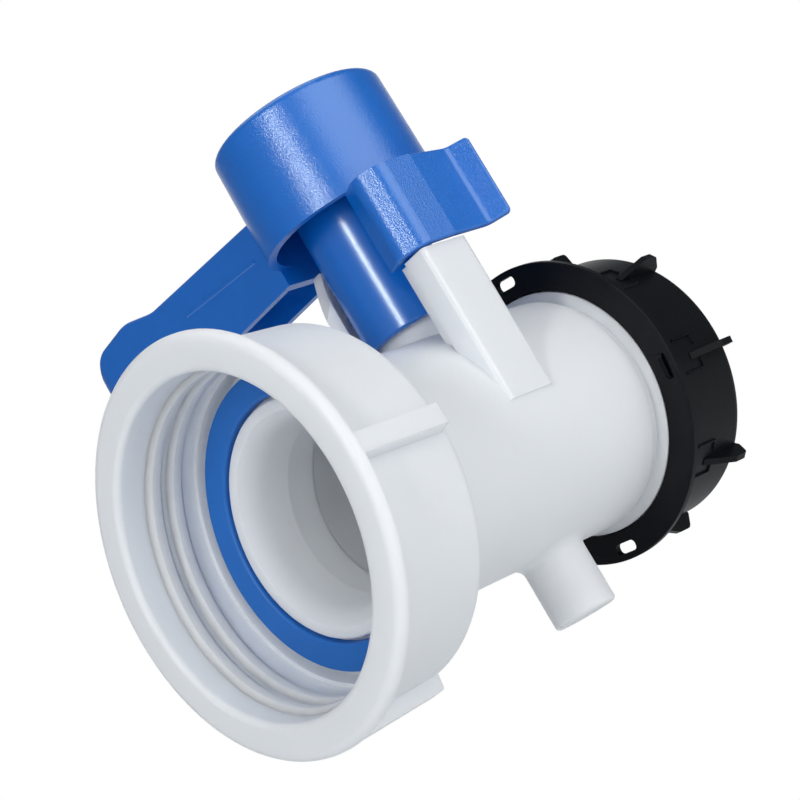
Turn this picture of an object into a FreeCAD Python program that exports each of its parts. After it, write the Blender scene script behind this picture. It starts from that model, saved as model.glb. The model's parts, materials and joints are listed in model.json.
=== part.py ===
import FreeCAD, Part
import math
import os
import re
import Sketcher
from FreeCAD import Placement, Rotation, Vector

# Quarter-turn drain valve for a bulk liquid tank, in millimetres.
# The origin is the centre of the inlet gasket's front face, on the flow axis.
# +X runs with the flow to the capped outlet, +Z runs up the handle's stem.
# The valve is drawn closed, with the lever along +Y.

doc = FreeCAD.newDocument("drain_valve")
sheet = doc.addObject("Spreadsheet::Sheet", "sizes")

driving_sizes = [
    ("stem_x", 56.24, "stem axis behind the gasket's front face"),
    ("flow_r", 20.0, "radius of the flow bore"),
    ("tube_wall", 8.3, "wall of the body tube"),
    ("body_front_x", 4.5, "front end of the body tube"),
    ("spigot_wall", 4.0, "wall of the inlet spigot"),
    ("spigot_end_x", 20.0, "inner end of the inlet spigot"),
    ("liner_wall", 1.5, "wall of the seat liner"),
    ("liner_end_x", 74.0, "outlet end of the seat liner"),
    ("tube_end_x", 82.0, "shoulder where the body tube ends"),
    ("outlet_step", 1.5, "step from the tube down to the outlet's neck"),
    ("neck_long", 4.5, "length of the outlet's neck"),
    ("thread_step", 1.2, "step from the neck up to the thread's root"),
    ("thread_long", 17.5, "length of the outlet's thread"),
    ("mouth_step", 5.0, "how much wider the outlet's mouth is"),
    ("outlet_mouth_deep", 14.0, "depth of the wider bore"),
    ("outlet_taper", 4.0, "length of the taper behind the mouth"),
    ("neck_wall", 2.9, "wall of the stem neck"),
    ("neck_tall", 30.0, "height of the stem neck above its floor"),
    ("bush_wall", 1.6, "wall of the upper bush"),
    ("neck_floor_up", 2.5, "floor of the neck above the liner"),
    ("pass_gap", 0.3, "gap round the stem where it enters the bore"),
    ("stub_wall", 2.05, "wall of the lower stub"),
    ("stub_long", 15.8, "length of the stub below the tube"),
    ("low_bush_wall", 1.4, "wall of the lower bush"),
    ("stub_floor", 3.6, "floor of the stub"),
    ("edge_round", 0.6, "soft edges left by the mould"),
    ("post_round", 1.0, "rounding of the post's outer edges"),
    ("stub_root_round", 2.5, "rounding where the stub meets the tube"),
    ("post_left_x", -15.7, "inlet side of the post, from the stem"),
    ("post_right_x", -1.4, "outlet side of the post, from the stem"),
    ("post_proud", 0.7, "how far the post stands out from the tube"),
    ("post_back", 0.5, "clearance behind the post to the liner"),
    ("post_free", 5.7, "room between the rib and the sleeve"),
    ("post_step", 2.0, "how far the rib stands back"),
    ("post_low_z", 2.0, "lower end of the post"),
    ("post_tall", 12.3, "height of the post above the tube"),
    ("guard_free", 1.6, "room between the sleeve and the guard"),
    ("guard_wall", 3.0, "thickness of the curved guard"),
    ("guard_sink", 1.5, "guard's lower edge below the liner's radius, inside the wall"),
    ("guard_over", 3.0, "guard above the top of the neck"),
    ("guard_slant", 14.0, "height of the slant at the guard's ends"),
    ("guard_slant_in", 4.4, "half the guard's width at its top"),
    ("guard_slant_out", 12.5, "half the guard's width below the slant"),
    ("guard_angle", 84.0, "how far the guard reaches round the stem"),
    ("gasket_thick", 2.5, "thickness of the inlet gasket"),
    ("gasket_gap", 0.8, "gap between the lip and the gasket"),
    ("gasket_wide", 6.2, "width of the gasket"),
    ("spigot_lip_x", 0.4, "front face of the inlet spigot"),
    ("lip_wide", 2.7, "width of the spigot's lip"),
    ("funnel_rise", 4.0, "how much wider the lead-in's mouth is"),
    ("funnel_bend_x", 3.5, "bend of the lead-in"),
    ("bend_rise", 1.5, "how much wider the lead-in's bend is"),
    ("funnel_end_x", 12.0, "end of the lead-in"),
    ("flange_margin", 0.6, "flange beyond the gasket"),
    ("seal_groove_x", 11.0, "groove for the spigot's seal"),
    ("seal_groove_wide", 2.2, "width of that groove"),
    ("seal_deep", 1.9, "depth of that groove"),
    ("nut_front_x", -22.0, "front face of the nut"),
    ("nut_lip_tall", 8.5, "lip of the nut outside its thread"),
    ("nut_lip_wide", 2.5, "width of the lip's rim"),
    ("nut_wall", 4.8, "wall of the nut behind the lip"),
    ("nut_rear_wall", 3.5, "wall of the nut at the rear"),
    ("shoulder_thick", 3.2, "thickness of the nut's shoulder"),
    ("shoulder_gap", 0.3, "play between the flange and the nut's shoulder"),
    ("nut_clear", 1.0, "clearance of the nut round the tube"),
    ("thread_room", 3.8, "room from the gasket to the nut's thread wall"),
    ("flange_room", 2.1, "room round the flange"),
    ("nut_mouth_round", 1.5, "rounding of the mouth"),
    ("nut_lip_round", 2.2, "rounding of the lip"),
    ("nut_rear_round", 2.5, "rounding of the rear edge"),
    ("lug_turn", 88.5, "where the first lug stands at rest"),
    ("lug_count", 4, "number of lugs"),
    ("lug_base", 6.3, "width of a lug at its base"),
    ("lug_top", 4.5, "width of a lug at its top"),
    ("lug_front_x", -20.0, "front end of a lug"),
    ("lug_rear_x", 5.5, "rear end of a lug"),
    ("lug_front_drop", 0.2, "lug below the lip at its front"),
    ("lug_rear_tall", 3.5, "lug above the wall at its rear"),
    ("lug_sink", 1.0, "how deep a lug is rooted in the wall"),
    ("disc_gap", 0.3, "gap between the butterfly and its seat"),
    ("disc_thick", 6.0, "thickness of the butterfly"),
    ("hub_wall", 2.5, "wall of the hub"),
    ("stem_r", 6.0, "stem above the butterfly's seat"),
    ("stem_low_r", 4.2, "stem below the butterfly's seat"),
    ("stem_step_z", -15.0, "seat that carries the butterfly"),
    ("stem_gap", 0.6, "gap below the stem"),
    ("square", 8.4, "square that drives the handle"),
    ("stem_short", 0.3, "how far the square stays below the washer"),
    ("fit_gap", 0.1, "radial clearance of the stem"),
    ("screw_r", 1.5, "screws that hold the butterfly"),
    ("screw_head_r", 2.7, "their heads"),
    ("screw_head_tall", 2.2, "height of their heads"),
    ("screw_up", 9.0, "screws above and below the flow axis"),
    ("spot_deep", 1.3, "depth of the flat under the screw heads"),
    ("upper_seal_r", 0.75, "section of the upper stem seal"),
    ("lower_seal_r", 0.65, "section of the lower stem seal"),
    ("bush_flange_in", 0.7, "flange of the upper bush inside the neck's edge"),
    ("bush_flange_tall", 1.2, "its thickness"),
    ("low_bush_drop", 4.5, "top of the lower bush below the liner"),
    ("cup_r", 22.5, "outside radius of the handle's cup at the rim"),
    ("cup_draft", 0.4, "how much the cup narrows to its top"),
    ("cup_wall", 2.2, "wall of the cup"),
    ("cup_low", 5.6, "open rim of the cup above the guard"),
    ("cup_tall", 27.9, "height of the cup"),
    ("cup_roof", 2.5, "thickness of the closed top"),
    ("cup_round", 2.0, "rounding of the top"),
    ("sleeve_wall", 1.8, "wall of the sleeve"),
    ("sleeve_gap", 0.5, "gap between the sleeve and the neck"),
    ("sleeve_up", 3.1, "lower end of the sleeve above the tube"),
    ("drive_gap", 1.3, "gap between the driving web and the bush"),
    ("drive_thick", 9.5, "thickness of the driving web"),
    ("well_r", 7.0, "screw well in the handle"),
    ("lever_half", 10.0, "half the width of the lever"),
    ("lever_wall", 2.2, "wall of the lever"),
    ("lever_sink", 0.56, "how far the lever's sides reach into the cup's wall"),
    ("lever_root_wall", 0.5, "solid root of the lever in front of the cup"),
    ("lever_gap", 1.2, "gap between the lever and the guard"),
    ("lever_tall", 18.8, "height of the lever at the cup"),
    ("kink_back", 36.2, "kink back from the lever's end"),
    ("kink_rise", 2.8, "rise of the lever to the kink"),
    ("crown_back", 24.4, "crown back from the lever's end"),
    ("crown_rise", 3.5, "rise from the kink to the crown"),
    ("nose_in", 0.4, "nose behind the start of the end's rounding"),
    ("nose_drop", 0.9, "fall from the crown to the nose"),
    ("lever_reach", 106.4, "reach of the lever from the stem"),
    ("chin_drop", 8.6, "fall from the nose to the upright end"),
    ("end_flat", 1.0, "half the flat part in the middle of the rounded end"),
    ("channel_round", 5.5, "plan rounding of the channel's end"),
    ("lever_kink_round", 16.0, "rounding of kink and crown"),
    ("lever_nose_round", 8.0, "rounding of the nose"),
    ("rib_thick", 1.8, "cross ribs in the lever"),
    ("rib_first", 17.5, "first cross rib from the cup"),
    ("rib_pitch", 18.0, "distance between the ribs"),
    ("rib_up", 5.8, "ribs above the lever's lower edges"),
    ("catch_wall", 2.0, "wall of the catch"),
    ("catch_gap", 0.8, "gap between the catch and the post"),
    ("catch_fall", 1.2, "fall of the catch's top edge to the tip"),
    ("catch_shelf", 2.4, "shelf that joins catch and rim"),
    ("catch_root_x", -14.2, "catch at the rim, along the tube"),
    ("catch_root_in", 6.9, "the same place, inside the cup's radius across the tube"),
    ("catch_side_x", -17.4, "widest place of the catch"),
    ("catch_side_out", 0.5, "the same place beyond the cup"),
    ("catch_turn_x", -13.2, "turn to the front"),
    ("catch_turn_out", 6.1, "the same place beyond the cup"),
    ("catch_mid_x", -4.0, "flattest place of the front"),
    ("catch_mid_out", 6.9, "the same place beyond the cup"),
    ("catch_hook_x", 7.5, "start of the hook"),
    ("catch_hook_out", 6.7, "the same place beyond the cup"),
    ("catch_tip_x", 11.3, "tip of the hook"),
    ("catch_tip_out", 10.8, "the same place beyond the cup"),
    ("catch_tip_round", 1.2, "rounding of the tip's corners"),
    ("catch_round", 4.0, "rounding of the catch's turns"),
    ("bolt_r", 2.0, "screw that holds the handle"),
    ("bolt_head_r", 4.2, "its head"),
    ("bolt_head_tall", 3.4, "height of its head"),
    ("bolt_long", 13.0, "length of that screw below the washer"),
    ("washer_r", 5.2, "washer under that screw"),
    ("washer_thick", 1.0, "thickness of the washer"),
    ("socket_r", 2.0, "hexagon socket, centre to corner"),
    ("socket_deep", 2.0, "depth of the socket"),
    ("plug_deep", 6.5, "depth of the handle's plug"),
    ("plug_wall", 1.2, "wall of the plug"),
    ("cap_gap", 1.2, "gap between the ring and the cap"),
    ("cap_liner_thick", 2.0, "thickness of the sealing disc"),
    ("cap_wall", 2.9, "wall of the cap's skirt"),
    ("cap_room", 2.1, "room between thread root and cap"),
    ("cap_face", 3.0, "thickness of the closed end"),
    ("cap_round", 2.4, "rounding of the closed end"),
    ("fin_count", 8, "grip fins round the cap"),
    ("fin_turn", 8.5, "where the first fin stands at rest"),
    ("fin_thick", 1.6, "thickness of a fin"),
    ("fin_long", 14.0, "length of a fin"),
    ("fin_slope", 8.5, "length of a fin's slope"),
    ("fin_tall", 3.7, "height of the fins"),
    ("fin_round", 1.4, "rounding of a fin's corner"),
    ("cap_liner_gap", 0.7, "gap round the sealing disc"),
    ("ring_back", 2.2, "ring behind the tube's shoulder"),
    ("ring_thick", 1.6, "thickness of the tamper ring"),
    ("ring_play", 0.35, "play of the ring on its bead"),
    ("bead_in", 0.2, "how far the bead stays inside the ring's faces"),
    ("ring_gap", 0.15, "ring's bore beyond the cap's"),
    ("ring_wide", 6.95, "width of the ring"),
    ("ring_turn", 8.5, "where the first slot stands at rest"),
    ("slot_count", 4, "slots round the ring"),
    ("slot_in", 4.0, "slots from the ring's inner edge"),
    ("slot_long", 6.4, "length of a slot"),
    ("slot_wide", 2.6, "width of a slot"),
]
for row, (name, number, note) in enumerate(driving_sizes, 1):
    sheet.set("A%d" % row, note)
    sheet.set("B%d" % row, str(number))
    sheet.setAlias("B%d" % row, name)
doc.recompute()

# Sizes that follow from the driving ones, each as a sum of clearances and walls.
following_sizes = {
    "tube_r": "flow_r + tube_wall",
    "liner_r": "flow_r + liner_wall",
    "spigot_seat_r": "flow_r + spigot_wall",
    "funnel_mouth_r": "flow_r + funnel_rise",
    "funnel_bend_r": "flow_r + bend_rise",
    "spigot_lip_r": "funnel_mouth_r + lip_wide",
    "gasket_in_r": "spigot_lip_r + gasket_gap",
    "gasket_out_r": "gasket_in_r + gasket_wide",
    "flange_r": "gasket_out_r + flange_margin",
    "seal_groove_r": "spigot_seat_r - seal_deep",
    "nut_hole_r": "tube_r + nut_clear",
    "nut_thread_r": "gasket_out_r + thread_room",
    "nut_relief_r": "flange_r + flange_room",
    "nut_lip_r": "nut_thread_r + nut_lip_tall",
    "nut_wall_r": "nut_thread_r + nut_wall",
    "nut_rear_r": "nut_thread_r + nut_rear_wall",
    "nut_shoulder_x": "body_front_x + shoulder_gap",
    "nut_rear_x": "nut_shoulder_x + shoulder_thick",
    "lug_front_r": "nut_lip_r - lug_front_drop",
    "lug_rear_r": "nut_rear_r + lug_rear_tall",
    "lug_root_r": "nut_rear_r - lug_sink",
    "outlet_neck_r": "tube_r - outlet_step",
    "outlet_thread_r": "outlet_neck_r + thread_step",
    "outlet_mouth_r": "flow_r + mouth_step",
    "thread_start_x": "tube_end_x + neck_long",
    "outlet_end_x": "thread_start_x + thread_long",
    "cap_thread_r": "outlet_thread_r + cap_room",
    "cap_r": "cap_thread_r + cap_wall",
    "cap_end_x": "outlet_end_x + cap_liner_thick + cap_face",
    "cap_start_x": "ring_front_x + ring_thick + cap_gap",
    "cap_liner_r": "cap_thread_r - cap_liner_gap",
    "fin_r": "cap_r + fin_tall",
    "fin_start_x": "cap_end_x - fin_long",
    "fin_rise_x": "fin_start_x + fin_slope",
    "ring_front_x": "tube_end_x + ring_back",
    "ring_in_r": "cap_thread_r + ring_gap",
    "ring_out_r": "ring_in_r + ring_wide",
    "bead_r": "ring_in_r - ring_play",
    "slot_r": "ring_in_r + slot_in",
    "disc_r": "flow_r - disc_gap",
    "hub_r": "stem_r + hub_wall",
    "spot_x": "hub_r - spot_deep",
    "neck_bore_r": "stem_r + bush_wall",
    "neck_r": "neck_bore_r + neck_wall",
    "neck_floor_z": "liner_r + neck_floor_up",
    "neck_top_z": "neck_floor_z + neck_tall",
    "bush_flange_r": "neck_r - bush_flange_in",
    "stem_pass_r": "stem_r + pass_gap",
    "sleeve_bore_r": "neck_r + sleeve_gap",
    "sleeve_r": "sleeve_bore_r + sleeve_wall",
    "sleeve_low_z": "tube_r + sleeve_up",
    "stub_bore_r": "stem_low_r + low_bush_wall",
    "stub_r": "stub_bore_r + stub_wall",
    "stub_low_z": "0 - tube_r - stub_long",
    "stub_floor_z": "stub_low_z + stub_floor",
    "stem_low_z": "stub_floor_z + stem_gap",
    "bush_low_top_z": "0 - liner_r - low_bush_drop",
    "post_face_y": "tube_r + post_proud",
    "post_step_y": "liner_r + post_back",
    "post_back_y": "sleeve_r + post_free",
    "near_post_top_z": "tube_r + post_tall",
    "guard_in_r": "sleeve_r + guard_free",
    "guard_r": "guard_in_r + guard_wall",
    "guard_low_z": "liner_r - guard_sink",
    "guard_top_z": "neck_top_z + guard_over",
    "guard_slant_y": "sqrt(neck_r * neck_r - guard_slant_in * guard_slant_in) + 0.1",
    "drive_low_z": "neck_top_z + bush_flange_tall + drive_gap",
    "drive_top_z": "drive_low_z + drive_thick",
    "stem_top_z": "drive_top_z - stem_short",
    "bolt_low_z": "drive_top_z + washer_thick - bolt_long",
    "cup_rim_z": "guard_top_z + cup_low",
    "cup_top_z": "cup_rim_z + cup_tall",
    "cup_top_r": "cup_r - cup_draft",
    "lever_start_y": "sqrt(cup_r * cup_r - lever_half * lever_half) - lever_sink",
    "lever_low_z": "guard_top_z + lever_gap",
    "lever_root_z": "lever_low_z + lever_tall",
    "lever_kink_y": "lever_reach - kink_back",
    "lever_kink_z": "lever_root_z + kink_rise",
    "lever_crown_y": "lever_reach - crown_back",
    "lever_crown_z": "lever_kink_z + crown_rise",
    "lever_nose_y": "lever_reach - lever_end_round - nose_in",
    "lever_nose_z": "lever_crown_z - nose_drop",
    "lever_chin_z": "lever_nose_z - chin_drop",
    "channel_end_y": "lever_reach - lever_wall - 1.5",
    "lever_end_round": "lever_half - end_flat",
    "rib_low_z": "lever_low_z + rib_up",
    "rib_first_y": "cup_r + rib_first",
    "catch_low_z": "near_post_top_z + catch_gap",
    "catch_top_z": "cup_rim_z",
    "catch_root_y": "0 - cup_r + catch_root_in",
    "catch_side_y": "0 - cup_r - catch_side_out",
    "catch_turn_y": "0 - cup_r - catch_turn_out",
    "catch_mid_y": "0 - cup_r - catch_mid_out",
    "catch_hook_y": "0 - cup_r - catch_hook_out",
    "catch_tip_y": "0 - cup_r - catch_tip_out",
}
plain_words = [name for name, number, note in driving_sizes]
plain_word = re.compile(r"\b(" + "|".join(plain_words) + r")\b")
following_word = re.compile(r"\b(" + "|".join(following_sizes) + r")\b")


def bound(text):
    text = str(text)
    while following_word.search(text):
        text = following_word.sub(lambda found: "(%s)" % following_sizes[found.group(0)], text)
    return plain_word.sub(r"sizes.\1", text)


def size(text):
    return float(sheet.evalExpression(bound(text)))


def new_body(label, at_x="0"):
    body = doc.addObject("PartDesign::Body", label)
    body.Label = label
    body.Placement = Placement(Vector(size(at_x), 0, 0), Rotation())
    body.setExpression("Placement.Base.x", bound(at_x))
    return body


def turn_body(body, angle):
    base = body.Placement.Base
    body.Placement = Placement(base, Rotation(Vector(1, 0, 0), size(angle)))
    body.setExpression("Placement.Rotation.Angle", bound(angle) + " * 1 deg")


def new_sketch(body, name, plane, lift="0"):
    drawing = body.newObject("Sketcher::SketchObject", name)
    flat = [item for item in body.Origin.OriginFeatures if item.Role == plane][0]
    drawing.AttachmentSupport = [(flat, "")]
    drawing.MapMode = "FlatFace"
    drawing.setExpression("AttachmentOffset.Base.z", bound(lift))
    return drawing


# A closed outline through corners given as pairs of sheet formulas.
def outline(drawing, corners):
    points = [Vector(size(across), size(up), 0) for across, up in corners]
    count = len(points)
    for index in range(count):
        drawing.addGeometry(Part.LineSegment(points[index], points[(index + 1) % count]))
    for index in range(count):
        drawing.addConstraint(Sketcher.Constraint(
            "Coincident", index, 2, (index + 1) % count, 1))
    for index, (across, up) in enumerate(corners):
        pairs = (("DistanceX", across, points[index].x), ("DistanceY", up, points[index].y))
        for kind, formula, number in pairs:
            place = drawing.addConstraint(Sketcher.Constraint(
                kind, -1, 1, index, 1, number))
            drawing.setExpression("Constraints[%d]" % place, bound(formula))


def circle(drawing, across, radius):
    centre = Vector(size(across), 0, 0)
    drawing.addGeometry(Part.Circle(centre, Vector(0, 0, 1), size(radius)))
    pairs = ((Sketcher.Constraint("DistanceX", -1, 1, 0, 3, centre.x), across),
             (Sketcher.Constraint("DistanceY", -1, 1, 0, 3, 0.0), "0"),
             (Sketcher.Constraint("Radius", 0, size(radius)), radius))
    for constraint, formula in pairs:
        place = drawing.addConstraint(constraint)
        drawing.setExpression("Constraints[%d]" % place, bound(formula))


def settle(body, feature):
    doc.recompute()
    if "Invalid" in feature.State or "Error" in feature.State or feature.Shape.isNull():
        raise RuntimeError("%s of %s failed" % (feature.Name, body.Label))
    body.Tip = feature
    return feature


def turned(body, name, corners, line="H_Axis", plane="XZ_Plane", cut=False, angle=None):
    drawing = new_sketch(body, name + "_sketch", plane)
    outline(drawing, corners)
    kind = "PartDesign::Groove" if cut else "PartDesign::Revolution"
    feature = body.newObject(kind, name)
    feature.Profile = drawing
    feature.ReferenceAxis = (drawing, [line])
    if angle:
        feature.Midplane = True
        feature.setExpression("Angle", bound(angle) + " * 1 deg")
    else:
        feature.Angle = 360
    return settle(body, feature)


def padded(body, name, corners, plane, lift, length, both=False):
    drawing = new_sketch(body, name + "_sketch", plane, lift)
    outline(drawing, corners)
    feature = body.newObject("PartDesign::Pad", name)
    feature.Profile = drawing
    feature.Midplane = both
    feature.setExpression("Length", bound(length))
    return settle(body, feature)


def post(body, name, radius, low, high):
    drawing = new_sketch(body, name + "_sketch", "XY_Plane", low)
    circle(drawing, "0", radius)
    feature = body.newObject("PartDesign::Pad", name)
    feature.Profile = drawing
    feature.setExpression("Length", bound("(%s) - (%s)" % (high, low)))
    return settle(body, feature)


# A pocket that must remove material, cut both ways from its own sketch.
def pocketed(body, name, corners, plane, lift, length):
    before = body.Tip.Shape.Volume
    drawing = new_sketch(body, name + "_sketch", plane, lift)
    outline(drawing, corners)
    feature = body.newObject("PartDesign::Pocket", name)
    feature.Profile = drawing
    feature.Midplane = True
    feature.setExpression("Length", bound(length))
    settle(body, feature)
    if feature.Shape.Volume > before - 0.01:
        raise RuntimeError("%s removes nothing" % name)
    return feature


def repeated(body, name, original, count, line="X_Axis"):
    feature = body.newObject("PartDesign::PolarPattern", name)
    feature.Originals = [original]
    axis = [item for item in body.Origin.OriginFeatures if item.Role == line][0]
    feature.Axis = (axis, [""])
    feature.Angle = 360
    feature.setExpression("Occurrences", bound(count))
    return settle(body, feature)


def rounded(body, name, radius, chosen):
    edges = body.Tip.Shape.Edges
    picked = ["Edge%d" % (index + 1) for index, edge in enumerate(edges) if chosen(edge)]
    if not picked:
        raise RuntimeError("%s of %s found no edge" % (name, body.Label))
    last = body.Tip
    feature = body.newObject("PartDesign::Fillet", name)
    feature.Base = (last, picked)
    feature.Radius = size(radius)
    feature.setExpression("Radius", bound(radius))
    return settle(body, feature)


# Chooses round edges of one radius at one place along the body's own axis.
def rim(radius, place, axis="x"):
    def chosen(edge):
        curve = edge.Curve
        if not isinstance(curve, Part.Circle):
            return False
        near_r = abs(curve.Radius - size(radius)) < 0.02
        near_place = abs(getattr(curve.Center, axis) - size(place)) < 0.02
        return near_r and near_place
    return chosen


# Chooses straight edges through one point, seen along one axis.
def line_at(first, second, axes):
    def chosen(edge):
        if not isinstance(edge.Curve, Part.Line):
            return False
        ends = [vertex.Point for vertex in edge.Vertexes]
        for point in ends:
            if abs(getattr(point, axes[0]) - size(first)) > 0.03:
                return False
            if abs(getattr(point, axes[1]) - size(second)) > 0.03:
                return False
        return True
    return chosen


def primitive(kind, name, x="0", y="0", z="0", turn=None, **lengths):
    item = doc.addObject(kind, name)
    rotation = turn if turn else Rotation()
    item.Placement = Placement(Vector(size(x), size(y), size(z)), rotation)
    for key, formula in (("x", x), ("y", y), ("z", z)):
        item.setExpression("Placement.Base." + key, bound(formula))
    for key, formula in lengths.items():
        item.setExpression(key, bound(formula))
    return item


def joined(kind, name, base, tool, label=None):
    item = doc.addObject(kind, name)
    item.Base = base
    item.Tool = tool
    item.Label = label if label else name
    return item


along_x = Rotation(Vector(0, 1, 0), 90)
pieces = []

# The body carries the tube, the outlet, the stem's neck and stub, a post and a guard.
valve_body = new_body("valve_body", "stem_x")
turned(valve_body, "tube", [
    ("body_front_x - stem_x", "spigot_seat_r"),
    ("body_front_x - stem_x", "tube_r"),
    ("tube_end_x - stem_x", "tube_r"),
    ("tube_end_x - stem_x", "outlet_neck_r"),
    ("ring_front_x + bead_in - stem_x", "outlet_neck_r"),
    ("ring_front_x + bead_in - stem_x", "bead_r"),
    ("ring_front_x + ring_thick - bead_in - stem_x", "bead_r"),
    ("ring_front_x + ring_thick - bead_in - stem_x", "outlet_neck_r"),
    ("thread_start_x - stem_x", "outlet_neck_r"),
    ("thread_start_x - stem_x", "outlet_thread_r"),
    ("outlet_end_x - stem_x", "outlet_thread_r"),
    ("outlet_end_x - stem_x", "outlet_mouth_r"),
    ("outlet_end_x - outlet_mouth_deep - stem_x", "outlet_mouth_r"),
    ("outlet_end_x - outlet_mouth_deep - outlet_taper - stem_x", "flow_r"),
    ("liner_end_x - stem_x", "flow_r"),
    ("liner_end_x - stem_x", "liner_r"),
    ("spigot_end_x - stem_x", "liner_r"),
    ("spigot_end_x - stem_x", "spigot_seat_r"),
])
rounded(valve_body, "tube_end_round", "1.2", rim("tube_r", "tube_end_x - stem_x"))
rounded(valve_body, "thread_lead", "1.2", rim("outlet_thread_r", "outlet_end_x - stem_x"))
post(valve_body, "stub", "stub_r", "stub_low_z", "0 - liner_r - 0.8")
rounded(valve_body, "stub_end_round", "1", rim("stub_r", "stub_low_z", "z"))


def stub_root(edge):
    middle = edge.valueAt((edge.FirstParameter + edge.LastParameter) / 2)
    reach = math.hypot(middle.x, middle.y)
    below = middle.z > size("0 - tube_r - 0.5") and middle.z < size("0 - liner_r")
    return abs(reach - size("stub_r")) < 0.05 and below


rounded(valve_body, "stub_root_round", "stub_root_round", stub_root)
post(valve_body, "neck", "neck_r", "liner_r + 0.5", "neck_top_z")
face, shoulder, between, step, back = ["0 - (%s)" % text for text in (
    "post_face_y", "post_face_y - post_round", "post_face_y - 0.3 * post_round",
    "post_step_y", "post_back_y")]
padded(valve_body, "post", [
    ("post_left_x", shoulder), ("post_left_x + 0.3 * post_round", between),
    ("post_left_x + post_round", face), ("post_right_x - post_round", face),
    ("post_right_x - 0.3 * post_round", between), ("post_right_x", shoulder),
    ("post_right_x", step), ("post_left_x", step),
], "XY_Plane", "post_low_z", "near_post_top_z - post_low_z")
padded(valve_body, "post_rib", [
    ("post_left_x + post_step", step), ("post_right_x", step),
    ("post_right_x", back), ("post_left_x + post_step", back),
], "XY_Plane", "post_low_z + 11", "near_post_top_z - post_low_z - 11")
turned(valve_body, "guard", [
    ("guard_in_r", "guard_low_z"), ("guard_r", "guard_low_z"),
    ("guard_r", "guard_top_z"), ("guard_in_r", "guard_top_z"),
], "V_Axis", "YZ_Plane", angle="guard_angle")

for word, side in (("left", "0 - "), ("right", "")):
    pocketed(valve_body, "guard_slant_" + word, [
        (side + "guard_slant_in", "guard_top_z + 1"),
        (side + "guard_slant_out", "guard_top_z - guard_slant"),
        (side + "2 * guard_r", "guard_top_z - guard_slant"),
        (side + "2 * guard_r", "guard_top_z + 1"),
    ], "XZ_Plane", "0 - guard_slant_y - guard_r / 2", "guard_r")


def guard_top(edge):
    ends = [vertex.Point for vertex in edge.Vertexes]
    if not all(abs(point.z - size("guard_top_z")) < 0.03 for point in ends):
        return False
    return len(ends) == 2 and isinstance(edge.Curve, Part.Circle)


rounded(valve_body, "guard_round", "edge_round", guard_top)
turned(valve_body, "neck_bore", [
    ("0", "liner_r - 3"), ("stem_pass_r", "liner_r - 3"), ("stem_pass_r", "neck_floor_z"),
    ("neck_bore_r", "neck_floor_z"), ("neck_bore_r", "neck_top_z + 1"), ("0", "neck_top_z + 1"),
], "V_Axis", cut=True)
turned(valve_body, "stub_bore", [
    ("0", "3 - liner_r"), ("stub_bore_r", "3 - liner_r"),
    ("stub_bore_r", "stub_floor_z"), ("0", "stub_floor_z"),
], "V_Axis", cut=True)
pieces.append(valve_body)

# The inlet spigot goes in after the nut, which can't pass the posts.
spigot = new_body("inlet_spigot")
turned(spigot, "spigot", [
    ("spigot_lip_x", "funnel_mouth_r"), ("spigot_lip_x", "spigot_lip_r"),
    ("gasket_thick", "spigot_lip_r"), ("gasket_thick", "flange_r"),
    ("body_front_x", "flange_r"), ("body_front_x", "spigot_seat_r"),
    ("seal_groove_x", "spigot_seat_r"), ("seal_groove_x", "seal_groove_r"),
    ("seal_groove_x + seal_groove_wide", "seal_groove_r"),
    ("seal_groove_x + seal_groove_wide", "spigot_seat_r"),
    ("spigot_end_x", "spigot_seat_r"), ("spigot_end_x", "flow_r"),
    ("funnel_end_x", "flow_r"), ("funnel_bend_x", "funnel_bend_r"),
])
rounded(spigot, "funnel_round", "10", rim("funnel_bend_r", "funnel_bend_x"))
rounded(spigot, "lip_round", "0.6", rim("spigot_lip_r", "spigot_lip_x"))
pieces.append(spigot)

spigot_seal = primitive(
    "Part::Torus", "spigot_seal", "seal_groove_x + seal_groove_wide / 2", turn=along_x,
    Radius1="(spigot_seat_r + seal_groove_r) / 2", Radius2="(spigot_seat_r - seal_groove_r) / 2")
pieces.append(spigot_seal)

gasket = new_body("inlet_gasket")
turned(gasket, "gasket", [
    ("0", "gasket_in_r"), ("0", "gasket_out_r"),
    ("gasket_thick", "gasket_out_r"), ("gasket_thick", "gasket_in_r"),
])
rounded(gasket, "gasket_round", "0.8", rim("gasket_in_r", "0"))
pieces.append(gasket)

# The liner seats the butterfly and is held by the spigot's end.
liner = new_body("seat_liner", "stem_x")
turned(liner, "liner", [
    ("spigot_end_x - stem_x", "flow_r"), ("spigot_end_x - stem_x", "liner_r"),
    ("liner_end_x - stem_x", "liner_r"), ("liner_end_x - stem_x", "flow_r"),
])
turned(liner, "upper_hole", [
    ("0", "flow_r - 5"), ("stem_pass_r", "flow_r - 5"),
    ("stem_pass_r", "liner_r + 1"), ("0", "liner_r + 1"),
], "V_Axis", cut=True)
turned(liner, "lower_hole", [
    ("0", "5 - flow_r"), ("stub_bore_r", "5 - flow_r"),
    ("stub_bore_r", "0 - liner_r - 1"), ("0", "0 - liner_r - 1"),
], "V_Axis", cut=True)
pieces.append(liner)

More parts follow.
